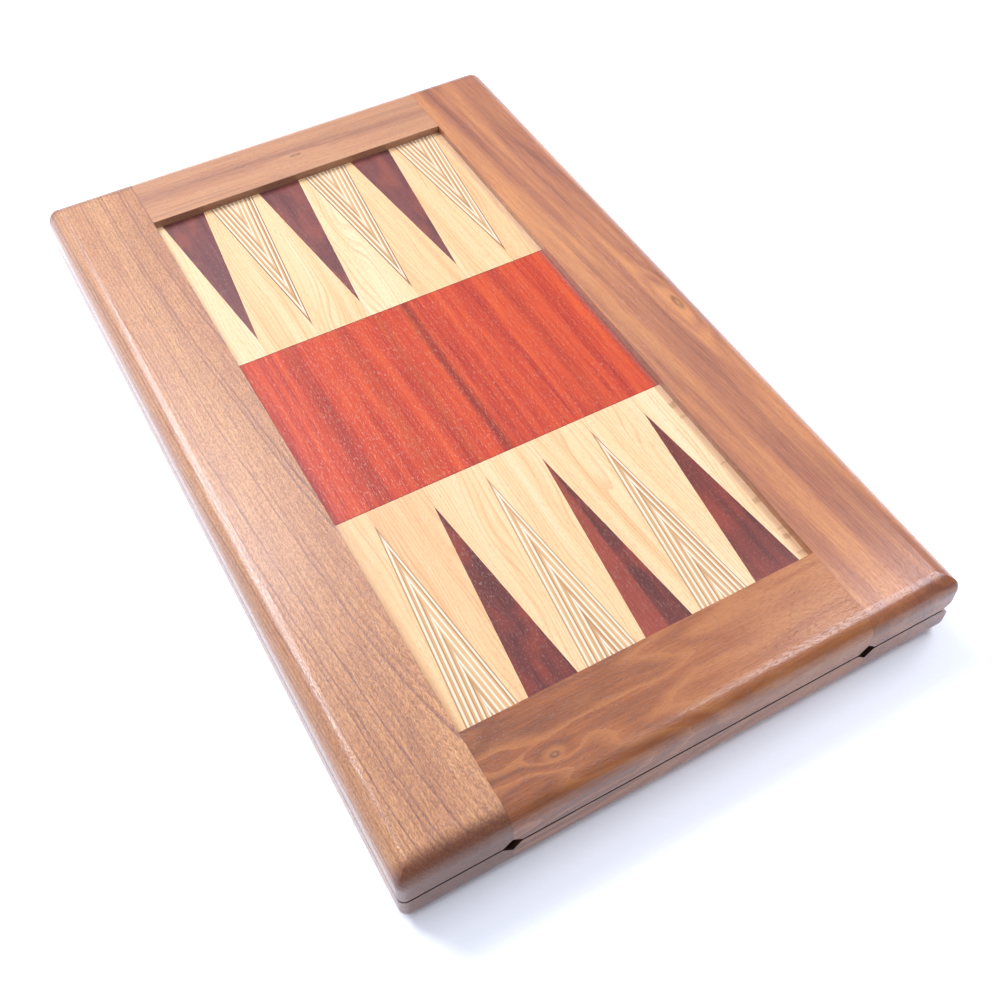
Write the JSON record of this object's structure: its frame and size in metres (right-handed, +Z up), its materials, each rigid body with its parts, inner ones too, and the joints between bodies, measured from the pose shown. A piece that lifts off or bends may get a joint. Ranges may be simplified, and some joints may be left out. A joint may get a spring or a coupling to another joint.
{
  "type": "backgammon case",
  "caption": "Folding wooden backgammon case of framed halves with inlaid points and a red centre board on the outside, storage bays inside, hinged on a long side.",
  "frame": {"origin": "on the surface that the closed case lies on, under the middle of the case", "axes": "+Z up out of the upper playing field; +Y along the long side, towards the far end rail; +X across the case, towards the hinges"},
  "size_m": [0.3828, 0.61, 0.058],
  "materials": {
    "walnut": "semi-gloss clear lacquer, open pores, swirling figure",
    "dark_wood": "semi-gloss clear lacquer, dark purple-brown with fine pale pores",
    "striped_laminate": "semi-gloss clear lacquer, pale and grey-brown laminae with brown lines and outline",
    "padauk": "semi-gloss clear lacquer, red-orange with darker streaks",
    "pale_wood": "semi-gloss clear lacquer, cream to peach",
    "filler_wood": "semi-gloss clear lacquer, pinkish with small brown flecks",
    "plywood": "bare, light",
    "backing_veneer": "satin lacquer, plain light veneer",
    "divider_walnut": "satin lacquer",
    "felt": "short dense felt, dark green",
    "magnet_nickel": "nickel plated",
    "hinge_brass": "brushed and lacquered",
    "screw_brass": "turned",
    "pin_steel": "drawn wire"
  },
  "bodies": {
    "lower_half": {"hinge_pins": "pin_steel", "lower_centre_board": "padauk", "lower_divider_bars": "divider_walnut", "lower_edge_strip": "filler_wood", "lower_far_dark_point_1": "dark_wood", "lower_far_dark_point_2": "dark_wood", "lower_far_dark_point_3": "dark_wood", "lower_far_field": "pale_wood", "lower_far_rail": "walnut", "lower_far_striped_point_1": "striped_laminate", "lower_far_striped_point_2": "striped_laminate", "lower_far_striped_point_3": "striped_laminate", "lower_hinge_leaf_1": "hinge_brass", "lower_hinge_leaf_2": "hinge_brass", "lower_hinge_leaf_3": "hinge_brass", "lower_hinge_screws": "screw_brass", "lower_left_rail": "walnut", "lower_lining": "felt", "lower_magnets": "magnet_nickel", "lower_near_dark_point_1": "dark_wood", "lower_near_dark_point_2": "dark_wood", "lower_near_dark_point_3": "dark_wood", "lower_near_field": "pale_wood", "lower_near_rail": "walnut", "lower_near_striped_point_1": "striped_laminate", "lower_near_striped_point_2": "striped_laminate", "lower_near_striped_point_3": "striped_laminate", "lower_panel_backing": "backing_veneer", "lower_panel_core": "plywood", "lower_right_rail": "walnut"},
    "upper_half": {"upper_centre_board": "padauk", "upper_divider_bars": "divider_walnut", "upper_edge_strip": "filler_wood", "upper_far_dark_point_1": "dark_wood", "upper_far_dark_point_2": "dark_wood", "upper_far_dark_point_3": "dark_wood", "upper_far_field": "pale_wood", "upper_far_rail": "walnut", "upper_far_striped_point_1": "striped_laminate", "upper_far_striped_point_2": "striped_laminate", "upper_far_striped_point_3": "striped_laminate", "upper_hinge_leaf_1": "hinge_brass", "upper_hinge_leaf_2": "hinge_brass", "upper_hinge_leaf_3": "hinge_brass", "upper_hinge_screws": "screw_brass", "upper_left_rail": "walnut", "upper_lining": "felt", "upper_magnets": "magnet_nickel", "upper_near_dark_point_1": "dark_wood", "upper_near_dark_point_2": "dark_wood", "upper_near_dark_point_3": "dark_wood", "upper_near_field": "pale_wood", "upper_near_rail": "walnut", "upper_near_striped_point_1": "striped_laminate", "upper_near_striped_point_2": "striped_laminate", "upper_near_striped_point_3": "striped_laminate", "upper_panel_backing": "backing_veneer", "upper_panel_core": "plywood", "upper_right_rail": "walnut"}
  },
  "joints": [
    {"name": "case_hinge", "type": "hinge", "parent": "lower_half", "child": "upper_half", "pos_m": [0.1903, 0, 0.029], "axis": [0, 1, 0], "range_deg": [0, 180]}
  ]
}
